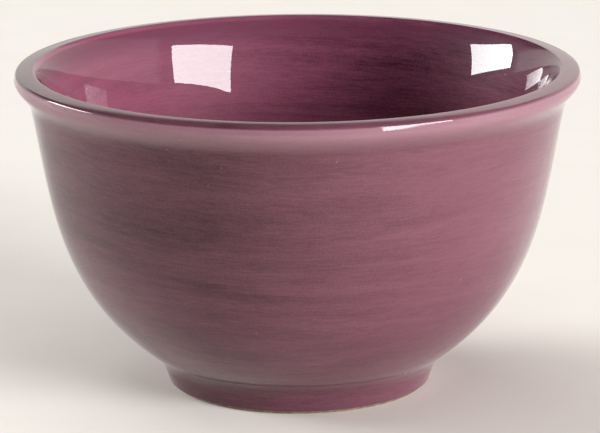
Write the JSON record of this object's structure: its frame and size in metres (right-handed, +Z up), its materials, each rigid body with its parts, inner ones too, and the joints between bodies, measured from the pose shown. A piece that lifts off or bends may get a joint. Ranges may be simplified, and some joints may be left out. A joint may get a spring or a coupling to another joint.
{
  "type": "footed ceramic bowl",
  "caption": "Round footed ceramic bowl with a rolled lip, brushed plum glaze inside and out, and a bare clay ring that it stands on.",
  "frame": {"origin": "centre of the foot, on the surface that the bowl stands on", "axes": "+Z up along the bowl's axis, out of its mouth; +X and +Y are any two square directions, because the bowl is round"},
  "size_m": [0.152, 0.152, 0.0872],
  "materials": {
    "fired_clay": "matte",
    "outer_glaze": "satin",
    "inner_glaze": "gloss"
  },
  "bodies": {
    "root": {"clay_body": "fired_clay", "foot_ring": "fired_clay", "outer_glaze": "outer_glaze", "inner_glaze": "inner_glaze", "recess_glaze": "outer_glaze"}
  },
  "joints": []
}
